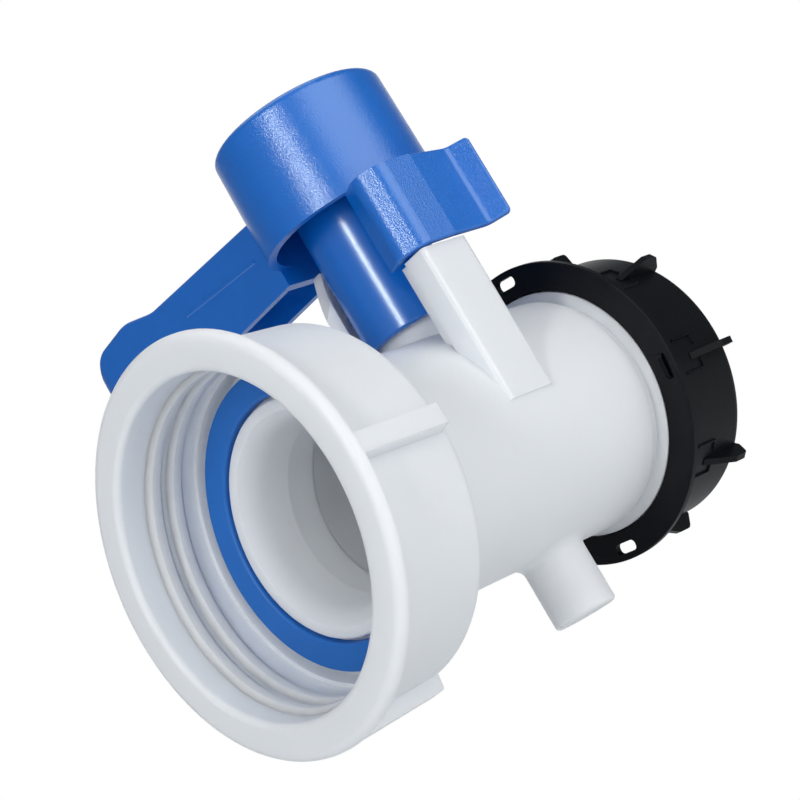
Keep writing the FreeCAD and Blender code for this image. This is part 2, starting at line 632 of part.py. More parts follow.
# The union nut has a coarse thread for the tank and four gripping lugs.
nut = new_body("union_nut")
turned(nut, "nut", [
    ("nut_front_x", "nut_thread_r"), ("nut_front_x", "nut_lip_r"),
    ("nut_front_x + nut_lip_wide", "nut_lip_r"),
    ("nut_front_x + nut_lip_wide + 0.9", "nut_wall_r"), ("nut_rear_x", "nut_rear_r"),
    ("nut_rear_x", "nut_hole_r"), ("nut_shoulder_x", "nut_hole_r"),
    ("nut_shoulder_x", "nut_relief_r"), ("0", "nut_relief_r"), ("0", "nut_thread_r"),
])
rounded(nut, "rear_round", "nut_rear_round", rim("nut_rear_r", "nut_rear_x"))
rounded(nut, "mouth_round", "nut_mouth_round", rim("nut_thread_r", "nut_front_x"))
ends = []
for name, place, top in (("lug_front", "lug_front_x", "lug_front_r"),
                         ("lug_rear", "lug_rear_x", "lug_rear_r")):
    drawing = new_sketch(nut, name, "YZ_Plane", place)
    outline(drawing, [("lug_root_r", "0 - lug_base / 2"), (top, "0 - lug_top / 2"),
                      (top, "lug_top / 2"), ("lug_root_r", "lug_base / 2")])
    ends.append(drawing)
lug = nut.newObject("PartDesign::AdditiveLoft", "lug")
lug.Profile = ends[0]
lug.Sections = [ends[1]]
lug.Ruled = True
settle(nut, lug)


def lug_edge(edge):
    ends = [vertex.Point for vertex in edge.Vertexes]
    if len(ends) != 2 or not isinstance(edge.Curve, Part.Line):
        return False
    if not all(point.y > size("lug_rear_r") - 0.1 for point in ends):
        return False
    return any(abs(point.x - size("lug_rear_x")) < 0.03 for point in ends)


lug_round = rounded(nut, "lug_round", "edge_round", lug_edge)
lugs = nut.newObject("PartDesign::PolarPattern", "lugs")
lugs.Originals = [lug, lug_round]
lugs.Axis = ([item for item in nut.Origin.OriginFeatures if item.Role == "X_Axis"][0], [""])
lugs.Angle = 360
lugs.setExpression("Occurrences", bound("lug_count"))
settle(nut, lugs)
rounded(nut, "lip_round", "nut_lip_round", rim("nut_lip_r", "nut_front_x"))
turn_body(nut, "lug_turn")
pieces.append(nut)

# The butterfly is a slab and a hub inside one sphere, so its edge turns in the bore.
ball = primitive("Part::Sphere", "disc_ball", "stem_x", Radius="disc_r")
slab = primitive("Part::Box", "disc_slab", "stem_x - disc_thick / 2", "0 - disc_r - 1",
                 "0 - disc_r - 1", Length="disc_thick", Width="2 * disc_r + 2",
                 Height="2 * disc_r + 2")
hub = primitive("Part::Cylinder", "disc_hub", "stem_x", "0", "0 - disc_r - 1",
                Radius="hub_r", Height="2 * disc_r + 2")
blank = joined("Part::Common", "disc_blank", joined("Part::Fuse", "disc_rough", slab, hub), ball)
wide_bore = primitive("Part::Cylinder", "disc_wide_bore", "stem_x", "0", "stem_step_z",
                      Radius="stem_r", Height="disc_r + 2 - stem_step_z")
thin_bore = primitive("Part::Cylinder", "disc_thin_bore", "stem_x", "0", "0 - disc_r - 2",
                      Radius="stem_low_r", Height="2 * disc_r")
drilled = joined("Part::Cut", "disc_drilled", blank,
                 joined("Part::Fuse", "disc_bores", wide_bore, thin_bore))
for word, side in (("upper", ""), ("lower", "0 - ")):
    hole = primitive("Part::Cylinder", word + "_screw_hole", "stem_x - hub_r - 1", "0",
                     side + "screw_up", along_x, Radius="screw_r", Height="2 * hub_r + 2")
    spot = primitive("Part::Cylinder", word + "_screw_spot", "stem_x + spot_x", "0",
                     side + "screw_up", along_x, Radius="screw_head_r + 0.3", Height="hub_r")
    tool = joined("Part::Fuse", word + "_screw_cut", hole, spot)
    drilled = joined("Part::Cut", "disc_with_%s_hole" % word, drilled, tool)
drilled.Label = "butterfly_disc"
pieces.append(drilled)

# The stem steps down under the butterfly and ends in a square for the handle.
stem = new_body("stem", "stem_x")
turned(stem, "shaft", [
    ("0", "stem_low_z"), ("stem_low_r", "stem_low_z"), ("stem_low_r", "stem_step_z"),
    ("stem_r", "stem_step_z"), ("stem_r", "drive_low_z"), ("0", "drive_low_z"),
], "V_Axis")
padded(stem, "square_end", [
    ("0 - square / 2", "0 - square / 2"), ("square / 2", "0 - square / 2"),
    ("square / 2", "square / 2"), ("0 - square / 2", "square / 2"),
], "XY_Plane", "drive_low_z - 1", "stem_top_z - drive_low_z + 1")
turned(stem, "bolt_hole", [
    ("0", "bolt_low_z"), ("bolt_r", "bolt_low_z"),
    ("bolt_r", "stem_top_z + 1"), ("0", "stem_top_z + 1"),
], "V_Axis", cut=True)
for word, side in (("upper", ""), ("lower", "0 - ")):
    drawing = new_sketch(stem, word + "_hole_sketch", "YZ_Plane")
    drawing.addGeometry(Part.Circle(Vector(0, size(side + "screw_up"), 0),
                                    Vector(0, 0, 1), size("screw_r")))
    holds = ((Sketcher.Constraint("DistanceX", -1, 1, 0, 3, 0.0), "0"),
             (Sketcher.Constraint("DistanceY", -1, 1, 0, 3, size(side + "screw_up")),
              side + "screw_up"),
             (Sketcher.Constraint("Radius", 0, size("screw_r")), "screw_r"))
    for constraint, formula in holds:
        place = drawing.addConstraint(constraint)
        drawing.setExpression("Constraints[%d]" % place, bound(formula))
    cross = stem.newObject("PartDesign::Pocket", word + "_hole")
    cross.Profile = drawing
    cross.Midplane = True
    cross.setExpression("Length", bound("4 * stem_r"))
    settle(stem, cross)
pieces.append(stem)

# Two screws hold the butterfly to the stem.
for word, side in (("upper", ""), ("lower", "0 - ")):
    shank = primitive("Part::Cylinder", word + "_shank", "stem_x - hub_r + 1.2", "0",
                      side + "screw_up", along_x, Radius="screw_r",
                      Height="spot_x + hub_r - 1.2 + screw_head_tall / 2")
    head = primitive("Part::Cylinder", word + "_head", "stem_x + spot_x", "0",
                     side + "screw_up", along_x, Radius="screw_head_r",
                     Height="screw_head_tall")
    recess = primitive("Part::Prism", word + "_recess", "stem_x + spot_x + 1", "0",
                       side + "screw_up", along_x, Circumradius="screw_r",
                       Height="screw_head_tall")
    recess.Polygon = 6
    whole = joined("Part::Fuse", word + "_screw_blank", shank, head)
    pieces.append(joined("Part::Cut", word + "_screw", whole, recess, "disc_screw_" + word))

# Plastic bushes carry the stem, each with a seal on the flow side.
upper_bush = new_body("stem_bush_upper", "stem_x")
turned(upper_bush, "bush", [
    ("stem_r + fit_gap", "neck_floor_z + 2 * upper_seal_r"),
    ("neck_bore_r", "neck_floor_z + 2 * upper_seal_r"), ("neck_bore_r", "neck_top_z"),
    ("bush_flange_r", "neck_top_z"), ("bush_flange_r", "neck_top_z + bush_flange_tall"),
    ("stem_r + fit_gap", "neck_top_z + bush_flange_tall"),
], "V_Axis")
pieces.append(upper_bush)
lower_bush = new_body("stem_bush_lower", "stem_x")
turned(lower_bush, "bush", [
    ("stem_low_r + fit_gap", "stub_floor_z"), ("stub_bore_r", "stub_floor_z"),
    ("stub_bore_r", "bush_low_top_z"), ("stem_low_r + fit_gap", "bush_low_top_z"),
], "V_Axis")
pieces.append(lower_bush)
pieces.append(primitive(
    "Part::Torus", "stem_seal_upper", "stem_x", "0", "neck_floor_z + upper_seal_r",
    Radius1="neck_bore_r - upper_seal_r", Radius2="upper_seal_r"))
pieces.append(primitive(
    "Part::Torus", "stem_seal_lower", "stem_x", "0", "bush_low_top_z + lower_seal_r",
    Radius1="stub_bore_r - lower_seal_r", Radius2="lower_seal_r"))

# The handle is one moulding: cup, sleeve, hollow lever and the catch below the rim.
handle = new_body("handle", "stem_x")
turned(handle, "cup", [
    ("sleeve_bore_r", "sleeve_low_z"), ("sleeve_r", "sleeve_low_z"),
    ("sleeve_r", "cup_top_z - cup_roof"), ("cup_r - cup_wall", "cup_top_z - cup_roof"),
    ("cup_r - cup_wall", "cup_rim_z"), ("cup_r", "cup_rim_z"), ("cup_top_r", "cup_top_z"),
    ("well_r", "cup_top_z"), ("well_r", "drive_top_z"), ("0", "drive_top_z"),
    ("0", "drive_low_z"), ("sleeve_bore_r", "drive_low_z"),
], "V_Axis")
rounded(handle, "cup_top_round", "cup_round", rim("cup_top_r", "cup_top_z", "z"))
rounded(handle, "sleeve_round", "edge_round", rim("sleeve_r", "sleeve_low_z", "z"))
pocketed(handle, "square_hole", [
    ("0 - square / 2", "0 - square / 2"), ("square / 2", "0 - square / 2"),
    ("square / 2", "square / 2"), ("0 - square / 2", "square / 2"),
], "XY_Plane", "drive_low_z", "2 * (drive_top_z - drive_low_z) + 2")
padded(handle, "lever", [
    ("lever_start_y", "lever_low_z"), ("lever_start_y", "lever_root_z"),
    ("lever_kink_y", "lever_kink_z"), ("lever_crown_y", "lever_crown_z"),
    ("lever_nose_y", "lever_nose_z"), ("lever_reach", "lever_chin_z"),
    ("lever_reach", "lever_low_z"),
], "YZ_Plane", "0", "2 * lever_half", True)
pocketed(handle, "channel", [
    ("cup_r + lever_root_wall", "lever_low_z - 5"),
    ("cup_r + lever_root_wall", "lever_root_z - lever_wall"),
    ("lever_kink_y", "lever_kink_z - lever_wall"),
    ("lever_crown_y", "lever_crown_z - lever_wall - 0.3"),
    ("lever_nose_y - 1.5", "lever_nose_z - lever_wall - 0.6"),
    ("channel_end_y", "lever_chin_z - 1"), ("channel_end_y", "lever_low_z - 5"),
], "YZ_Plane", "0", "2 * (lever_half - lever_wall)")


def channel_corner(edge):
    ends = [vertex.Point for vertex in edge.Vertexes]
    if len(ends) < 2 or abs(ends[0].z - ends[1].z) < 3:
        return False
    return all(abs(point.y - size("channel_end_y")) < 0.03 for point in ends)


rounded(handle, "channel_end_round", "channel_round", channel_corner)


def end_corner(edge):
    ends = [vertex.Point for vertex in edge.Vertexes]
    if len(ends) < 2 or abs(ends[0].z - ends[1].z) < 3:
        return False
    return all(abs(point.y - size("lever_reach")) < 0.03 for point in ends)


rounded(handle, "lever_end_round", "lever_end_round", end_corner)
rounded(handle, "lever_kink_round", "lever_kink_round",
        line_at("lever_kink_y", "lever_kink_z", "yz"))
rounded(handle, "lever_crown_round", "lever_kink_round",
        line_at("lever_crown_y", "lever_crown_z", "yz"))
rounded(handle, "lever_nose_round", "lever_nose_round",
        line_at("lever_nose_y", "lever_nose_z", "yz"))


def lever_side(edge):
    points = [edge.valueAt(edge.FirstParameter + share * (
        edge.LastParameter - edge.FirstParameter)) for share in (0.02, 0.5, 0.98)]
    if not all(abs(abs(point.x) - size("lever_half")) < 0.02 for point in points):
        return False
    if not all(point.y > size("lever_start_y") - 0.1 for point in points):
        return False
    return all(point.z > size("lever_root_z") - 1 for point in points)


rounded(handle, "lever_side_round", "edge_round + 0.4", lever_side)
rib = padded(handle, "rib", [
    ("rib_first_y", "rib_low_z"), ("rib_first_y + rib_thick", "rib_low_z"),
    ("rib_first_y + rib_thick", "lever_root_z"), ("rib_first_y", "lever_root_z"),
], "YZ_Plane", "0", "2 * lever_half - lever_wall", True)
ribs = handle.newObject("PartDesign::LinearPattern", "ribs")
ribs.Originals = [rib]
ribs.Direction = ([item for item in handle.Origin.OriginFeatures
                   if item.Role == "Y_Axis"][0], [""])
ribs.setExpression("Length", bound("2 * rib_pitch"))
ribs.Occurrences = 3
settle(handle, ribs)

# The catch is a wall of even thickness along a bent line in plan.
catch_words = ["root", "side", "turn", "mid", "hook", "tip"]
front = [("catch_%s_x" % word, "catch_%s_y" % word) for word in catch_words]
places = [Vector(size(across), size(up), 0) for across, up in front]
back = []
for index, place in enumerate(places):
    before = places[max(index - 1, 0)]
    after = places[min(index + 1, len(places) - 1)]
    into = (place - before) if index else (after - place)
    out = (after - place) if index < len(places) - 1 else (place - before)
    into.normalize()
    out.normalize()
    normal = Vector(-into.y - out.y, into.x + out.x, 0)
    normal.normalize()
    reach = 1 / max(normal.dot(Vector(-into.y, into.x, 0)), 0.5)
    back.append(("%s + catch_wall * %.4f" % (front[index][0], normal.x * reach),
                 "%s + catch_wall * %.4f" % (front[index][1], normal.y * reach)))
padded(handle, "catch", front + back[::-1], "XY_Plane", "catch_low_z",
       "catch_top_z - catch_low_z")
for word, radius in (("side", "catch_round"), ("turn", "catch_round"),
                     ("hook", "catch_round / 2")):
    at = catch_words.index(word)
    rounded(handle, "catch_front_" + word, radius, line_at(*front[at], "xy"))
    inner = "catch_round / 2" if word != "hook" else "catch_round"
    rounded(handle, "catch_back_" + word, inner, line_at(*back[at], "xy"))
padded(handle, "shelf", [
    front[0], ("catch_side_x + 0.8", "catch_side_y"),
    ("catch_turn_x + 0.6", "catch_turn_y + 0.9"),
    ("catch_mid_x", "catch_mid_y + 0.6"), ("catch_hook_x", "catch_hook_y + 0.6"),
    ("catch_hook_x + 1", "0 - cup_r + 2"),
], "XY_Plane", "catch_top_z - catch_shelf", "catch_shelf")
pocketed(handle, "catch_fall", [
    ("catch_mid_x", "catch_top_z"), ("catch_tip_x + 4", "catch_top_z - catch_fall"),
    ("catch_tip_x + 4", "catch_top_z + 1"), ("catch_mid_x", "catch_top_z + 1"),
], "XZ_Plane", "2 * cup_r + 0.1", "2 * cup_r")


def tip_corner(edge):
    ends = [vertex.Point for vertex in edge.Vertexes]
    if len(ends) != 2 or abs(ends[0].z - ends[1].z) > 0.5:
        return False
    return all(point.x > size("catch_tip_x") - 0.5
               and point.y < size("catch_tip_y + catch_wall") for point in ends)


rounded(handle, "catch_tip_round", "catch_tip_round", tip_corner)


def catch_low(edge):
    points = [edge.valueAt(edge.FirstParameter + share * (
        edge.LastParameter - edge.FirstParameter)) for share in (0.02, 0.5, 0.98)]
    near_low = all(abs(point.z - size("catch_low_z")) < 0.02 for point in points)
    return near_low and all(point.y < size("0 - sleeve_r") for point in points)


rounded(handle, "catch_low_round", "edge_round", catch_low)
pieces.append(handle)

washer_ring = primitive("Part::Cylinder", "washer_ring", "stem_x", "0", "drive_top_z",
                        Radius="washer_r", Height="washer_thick")
washer_hole = primitive("Part::Cylinder", "washer_hole", "stem_x", "0", "drive_top_z - 1",
                        Radius="bolt_r", Height="washer_thick + 2")
pieces.append(joined("Part::Cut", "washer", washer_ring, washer_hole, "screw_washer"))
bolt_shank = primitive("Part::Cylinder", "bolt_shank", "stem_x", "0", "bolt_low_z",
                       Radius="bolt_r", Height="drive_top_z + washer_thick + 1 - bolt_low_z")
bolt_head = primitive("Part::Cylinder", "bolt_head", "stem_x", "0",
                      "drive_top_z + washer_thick", Radius="bolt_head_r",
                      Height="bolt_head_tall")
bolt_socket = primitive("Part::Prism", "bolt_socket", "stem_x", "0",
                        "drive_top_z + washer_thick + bolt_head_tall - socket_deep",
                        Circumradius="socket_r", Height="socket_deep + 1")
bolt_socket.Polygon = 6
bolt = joined("Part::Fuse", "bolt_blank", bolt_shank, bolt_head)
pieces.append(joined("Part::Cut", "bolt", bolt, bolt_socket, "handle_screw"))

plug = new_body("handle_plug", "stem_x")
turned(plug, "plug", [
    ("0", "cup_top_z - 2"), ("0", "cup_top_z - 0.4"), ("well_r", "cup_top_z - 0.4"),
    ("well_r", "cup_top_z - plug_deep"), ("well_r - plug_wall", "cup_top_z - plug_deep"),
    ("well_r - plug_wall", "cup_top_z - 2"),
], "V_Axis")
pieces.append(plug)

# The outlet cap has a closed end and eight thin grip fins.
cap = new_body("outlet_cap")
turned(cap, "cap", [
    ("cap_start_x", "cap_thread_r"), ("cap_start_x", "cap_r"), ("cap_end_x", "cap_r"),
    ("cap_end_x", "0"), ("cap_end_x - cap_face", "0"), ("cap_end_x - cap_face", "cap_thread_r"),
])
rounded(cap, "cap_end_round", "cap_round", rim("cap_r", "cap_end_x"))
fin = padded(cap, "fin", [
    ("fin_start_x", "cap_r - 1.2"), ("fin_start_x", "cap_r + 0.2"), ("fin_rise_x", "fin_r"),
    ("cap_end_x - 1.6", "fin_r"), ("cap_end_x - 0.2", "cap_r + 0.4"),
    ("cap_end_x - 1", "cap_r - 1.2"),
], "XZ_Plane", "0", "fin_thick", True)
rounded(cap, "fin_corner", "fin_round", line_at("cap_end_x - 1.6", "fin_r", "xz"))
rounded(cap, "fin_heel", "fin_round", line_at("fin_rise_x", "fin_r", "xz"))
fins = cap.newObject("PartDesign::PolarPattern", "fins")
fins.Originals = [fin, doc.getObject("fin_corner"), doc.getObject("fin_heel")]
fins.Axis = ([item for item in cap.Origin.OriginFeatures if item.Role == "X_Axis"][0], [""])
fins.Angle = 360
fins.setExpression("Occurrences", bound("fin_count"))
settle(cap, fins)
turn_body(cap, "fin_turn")
pieces.append(cap)
pieces.append(primitive(
    "Part::Cylinder", "cap_liner", "outlet_end_x", turn=along_x, Radius="cap_liner_r",
    Height="cap_end_x - cap_face - outlet_end_x"))

# The tamper ring turns on a bead round the outlet's neck and has four slots.
ring = new_body("tamper_ring")
turned(ring, "ring", [
    ("ring_front_x", "ring_in_r"), ("ring_front_x", "ring_out_r"),
    ("ring_front_x + ring_thick", "ring_out_r"), ("ring_front_x + ring_thick", "ring_in_r"),
])
rounded(ring, "ring_round", "edge_round / 2", rim("ring_out_r", "ring_front_x"))
slot = pocketed(ring, "slot", [
    ("slot_r - slot_wide / 2", "0 - slot_long / 2"),
    ("slot_r + slot_wide / 2", "0 - slot_long / 2"),
    ("slot_r + slot_wide / 2", "slot_long / 2"), ("slot_r - slot_wide / 2", "slot_long / 2"),
], "YZ_Plane", "ring_front_x + ring_thick / 2", "ring_thick + 2")
repeated(ring, "slots", slot, "slot_count")


def slot_corner(edge):
    ends = [vertex.Point for vertex in edge.Vertexes]
    if len(ends) != 2 or not isinstance(edge.Curve, Part.Line):
        return False
    across = max(abs(ends[0].y - ends[1].y), abs(ends[0].z - ends[1].z))
    return across < 0.01


rounded(ring, "slot_round", "slot_wide / 2 - 0.2", slot_corner)
turn_body(ring, "ring_turn")
pieces.append(ring)

doc.recompute()
for item in doc.Objects:
    if "Invalid" in item.State or "Error" in item.State:
        raise RuntimeError("%s is in a bad state: %s" % (item.Label, item.State))
os.makedirs("parts", exist_ok=True)
for piece in pieces:
    shape = piece.Shape
    if shape.isNull() or not shape.isValid() or len(shape.Solids) != 1:
        raise RuntimeError("%s has no single sound solid" % piece.Label)
    if piece.TypeId.startswith("Part::"):
        piece.Label = piece.Label
    shape.exportStep("parts/%s.step" % piece.Label)
print(len(pieces), "pieces written")
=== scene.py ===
import json
import math

import bpy
from mathutils import Matrix, Vector


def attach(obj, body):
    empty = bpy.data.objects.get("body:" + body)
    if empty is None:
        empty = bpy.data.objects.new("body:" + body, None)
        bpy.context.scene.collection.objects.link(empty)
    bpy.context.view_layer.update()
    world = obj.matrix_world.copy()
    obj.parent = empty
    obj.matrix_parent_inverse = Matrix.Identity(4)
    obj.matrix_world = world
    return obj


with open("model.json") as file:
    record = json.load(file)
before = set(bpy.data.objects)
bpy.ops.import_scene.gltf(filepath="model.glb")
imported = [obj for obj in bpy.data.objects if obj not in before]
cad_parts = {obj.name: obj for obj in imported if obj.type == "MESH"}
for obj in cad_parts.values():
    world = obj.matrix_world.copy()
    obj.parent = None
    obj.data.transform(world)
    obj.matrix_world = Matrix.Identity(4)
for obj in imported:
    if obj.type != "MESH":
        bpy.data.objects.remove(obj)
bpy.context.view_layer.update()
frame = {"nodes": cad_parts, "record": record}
nodes = frame["nodes"]

MM = 0.001
STEM_X = 56.24 * MM
# Inside this radius of the stem's axis the blue plastic is smooth and more polished.
SLEEVE_SMOOTH_R = 13.6 * MM
SLEEVE_ROUGH = 0.23


def new_material(name):
    made = bpy.data.materials.new(name)
    made.use_nodes = True
    tree = made.node_tree
    shader = tree.nodes["Principled BSDF"]
    place = tree.nodes.new("ShaderNodeTexCoord")
    return made, tree, shader, place


# One node of arithmetic: its inputs are numbers or other nodes' outputs.
def worked_out(tree, kind, operation, *inputs):
    step = tree.nodes.new(kind)
    step.operation = operation
    for socket, value in zip(step.inputs, inputs):
        if isinstance(value, bpy.types.NodeSocket):
            tree.links.new(value, socket)
        else:
            socket.default_value = value
    return step.outputs["Value"]


def maths(tree, operation, *inputs):
    return worked_out(tree, "ShaderNodeMath", operation, *inputs)


def vector_maths(tree, operation, *inputs):
    return worked_out(tree, "ShaderNodeVectorMath", operation, *inputs)


def map_range(tree, value, from_min, from_max, to_min=0.0, to_max=1.0):
    step = tree.nodes.new("ShaderNodeMapRange")
    tree.links.new(value, step.inputs["Value"])
    step.inputs["From Min"].default_value = from_min
    step.inputs["From Max"].default_value = from_max
    step.inputs["To Min"].default_value = to_min
    step.inputs["To Max"].default_value = to_max
    return step.outputs["Result"]


def mixed(tree, share, first, second):
    mix = tree.nodes.new("ShaderNodeMixShader")
    tree.links.new(share, mix.inputs[0])
    tree.links.new(first.outputs[0], mix.inputs[1])
    tree.links.new(second.outputs[0], mix.inputs[2])
    return mix


# Grain and waviness are noise in real sizes, given as bumps per metre.
def noise(tree, place, per_metre):
    pattern = tree.nodes.new("ShaderNodeTexNoise")
    pattern.inputs["Scale"].default_value = per_metre
    pattern.inputs["Detail"].default_value = 2.0
    tree.links.new(place.outputs["Object"], pattern.inputs["Vector"])
    return pattern.outputs["Fac"]


def bump(tree, shader, height, strength, depth, under=None):
    step = tree.nodes.new("ShaderNodeBump")
    step.inputs["Strength"].default_value = strength
    step.inputs["Distance"].default_value = depth
    tree.links.new(height, step.inputs["Height"])
    if under:
        tree.links.new(under, step.inputs["Normal"])
    tree.links.new(step.outputs["Normal"], shader.inputs["Normal"])
    return step.outputs["Normal"]


def mottled(tree, place, first, second, per_metre):
    blend = tree.nodes.new("ShaderNodeMix")
    blend.data_type = "RGBA"
    blend.inputs["A"].default_value = (*first, 1)
    blend.inputs["B"].default_value = (*second, 1)
    tree.links.new(noise(tree, place, per_metre), blend.inputs["Factor"])
    return blend.outputs["Result"]


# Milky plastic, through which some light passes.
def milky(name, first, second, rough, glow):
    made, tree, shader, place = new_material(name)
    tree.links.new(mottled(tree, place, first, second, 60), shader.inputs["Base Color"])
    shader.inputs["Roughness"].default_value = rough
    shader.inputs["IOR"].default_value = 1.5
    shader.inputs["Subsurface Weight"].default_value = glow
    shader.inputs["Subsurface Radius"].default_value = (1.0, 1.0, 1.0)
    shader.inputs["Subsurface Scale"].default_value = 0.004
    wave = bump(tree, shader, noise(tree, place, 90), 0.18, 0.0006)
    bump(tree, shader, noise(tree, place, 1500), 0.05, 0.0001, wave)
    return made


# Opaque plastic with a fine grain over a faint waviness.
def grained(name, first, second, rough, grain, strength, shine=0.5, tint=(1, 1, 1), plain_r=0.0):
    made, tree, shader, place = new_material(name)
    tree.links.new(mottled(tree, place, first, second, 120), shader.inputs["Base Color"])
    shader.inputs["Roughness"].default_value = rough
    shader.inputs["IOR"].default_value = 1.58
    shader.inputs["Specular IOR Level"].default_value = shine
    shader.inputs["Specular Tint"].default_value = (*tint, 1)
    wave = bump(tree, shader, noise(tree, place, 110), 0.12, 0.0004)
    bump(tree, shader, noise(tree, place, grain), strength, 0.00012, wave)
    if plain_r:
        keep_plain(tree, place, shader, strength, rough, plain_r)
    return made


# Leaves the grain off within a radius of the stem's axis, where the sleeve is smoother.
def keep_plain(tree, place, shader, strength, rough, plain_r):
    split = tree.nodes.new("ShaderNodeSeparateXYZ")
    tree.links.new(place.outputs["Object"], split.inputs[0])
    flat = tree.nodes.new("ShaderNodeCombineXYZ")
    tree.links.new(maths(tree, "SUBTRACT", split.outputs["X"], STEM_X), flat.inputs["X"])
    tree.links.new(split.outputs["Y"], flat.inputs["Y"])
    far = vector_maths(tree, "LENGTH", flat.outputs[0])
    beyond = maths(tree, "GREATER_THAN", far, plain_r)
    grain_step = shader.inputs["Normal"].links[0].from_node
    tree.links.new(maths(tree, "MULTIPLY", beyond, strength), grain_step.inputs["Strength"])
    tree.links.new(maths(tree, "MULTIPLY_ADD", beyond, rough - SLEEVE_ROUGH, SLEEVE_ROUGH),
                   shader.inputs["Roughness"])


def metal(name, color, rough):
    made, tree, shader, place = new_material(name)
    shader.inputs["Base Color"].default_value = (*color, 1)
    shader.inputs["Metallic"].default_value = 1.0
    shader.inputs["Roughness"].default_value = rough
    bump(tree, shader, noise(tree, place, 2500), 0.1, 0.00005)
    return made


# Each plastic is mottled between two close colours, and its grain is in bumps per metre.
finishes = {
    "natural_body": milky("natural_body", (0.83, 0.855, 0.88), (0.86, 0.885, 0.91),
                          rough=0.42, glow=0.7),
    "blue_handle": grained("blue_handle", (0.001, 0.14, 0.60), (0.001, 0.16, 0.65),
                           rough=0.24, grain=2700, strength=0.7, shine=1.0,
                           tint=(0.90, 1.0, 1.0), plain_r=SLEEVE_SMOOTH_R),
    "blue_gasket": grained("blue_gasket", (0.002, 0.13, 0.50), (0.003, 0.15, 0.56),
                           rough=0.5, grain=1500, strength=0.15),
    "black_cap": grained("black_cap", (0.003, 0.004, 0.005), (0.005, 0.006, 0.008),
                         rough=0.36, grain=2200, strength=0.2, shine=0.12),
    "dark_seal": grained("dark_seal", (0.02, 0.02, 0.02), (0.03, 0.03, 0.03),
                         rough=0.6, grain=900, strength=0.1),
    "soft_liner": grained("soft_liner", (0.56, 0.58, 0.60), (0.62, 0.64, 0.66),
                          rough=0.55, grain=900, strength=0.1),
    "bush_plastic": grained("bush_plastic", (0.50, 0.52, 0.55), (0.56, 0.58, 0.60),
                            rough=0.4, grain=900, strength=0.1),
    "screw_steel": metal("screw_steel", (0.55, 0.56, 0.58), rough=0.3),
}
for entry in frame["record"]["subparts"]:
    node = nodes[entry["node"]]
    node.data.materials.clear()
    node.data.materials.append(finishes[entry["material_slot"]])


def mesh_piece(name, points, faces, slot, body, smooth=True):
    mesh = bpy.data.meshes.new(name)
    mesh.from_pydata(points, [], faces)
    mesh.update()
    made = bpy.data.objects.new(name, mesh)
    bpy.context.scene.collection.objects.link(made)
    if smooth:
        mesh.shade_smooth()
        mesh.set_sharp_from_angle(angle=math.radians(35))
    mesh.materials.append(finishes[slot])
    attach(made, body)
    return made


# A screw thread is a rounded ridge that climbs along +X and fades out at both ends.
# Its section is given as shares of half the base and of the full height.
RIDGE_SECTION = ((-1.0, 0.0), (-0.72, 0.34), (-0.42, 0.88), (0.0, 1.0),
                 (0.42, 0.88), (0.72, 0.34), (1.0, 0.0))
STEPS_PER_TURN = 96
# How deep threads and pads are sunk into the wall that carries them, in mm.
SUNK = 0.2


# All lengths here are in mm and the first angle is in degrees.
def thread(name, start, end, first_angle, wall_r, crest_r, pitch, base, slot, body):
    steps = int((end - start) / pitch * STEPS_PER_TURN)
    fade = STEPS_PER_TURN / 6
    outward = crest_r > wall_r
    sunk_r = wall_r - SUNK if outward else wall_r + SUNK
    across = len(RIDGE_SECTION)
    points, faces = [], []
    for step in range(steps + 1):
        angle = math.radians(first_angle) + 2 * math.pi * step / STEPS_PER_TURN
        along = start + pitch * step / STEPS_PER_TURN
        rise = min(1.0, (step + 1) / fade, (steps + 1 - step) / fade)
        for sideways, tall in RIDGE_SECTION:
            r = sunk_r + (wall_r + (crest_r - wall_r) * rise - sunk_r) * tall
            x = along + sideways * base / 2
            points.append((x * MM, r * math.cos(angle) * MM, r * math.sin(angle) * MM))
    for step in range(steps):
        for side in range(across):
            a, b = step * across + side, step * across + (side + 1) % across
            face = (a, b, b + across, a + across)
            faces.append(face[::-1] if outward else face)
    first, last = tuple(range(across)), tuple(range(steps * across, (steps + 1) * across))
    faces.append(first if outward else first[::-1])
    faces.append(last[::-1] if outward else last)
    return mesh_piece(name, points, faces, slot, body)


# The cap climbs its own thread by one pitch a turn, so both ridges share that pitch
# and the cap's ridge runs half a pitch beside the spout's.
NUT_PITCH, CAP_PITCH = 6.0, 6.0
thread("nut_thread", start=-15.0, end=-3.0, first_angle=-150, wall_r=37.5, crest_r=36.2,
       pitch=NUT_PITCH, base=5.4, slot="natural_body", body="nut")
thread("outlet_thread", start=88.8, end=101.8, first_angle=0, wall_r=28.0, crest_r=29.6,
       pitch=CAP_PITCH, base=3.0, slot="natural_body", body="valve")
thread("cap_thread", start=91.8, end=101.6, first_angle=0, wall_r=30.1, crest_r=28.6,
       pitch=CAP_PITCH, base=2.4, slot="black_cap", body="cap")

# The faces of a block whose corners are given as four below and four above.
BLOCK_FACES = ((0, 1, 2, 3), (7, 6, 5, 4), (0, 4, 5, 1), (1, 5, 6, 2), (2, 6, 7, 3),
               (3, 7, 4, 0))


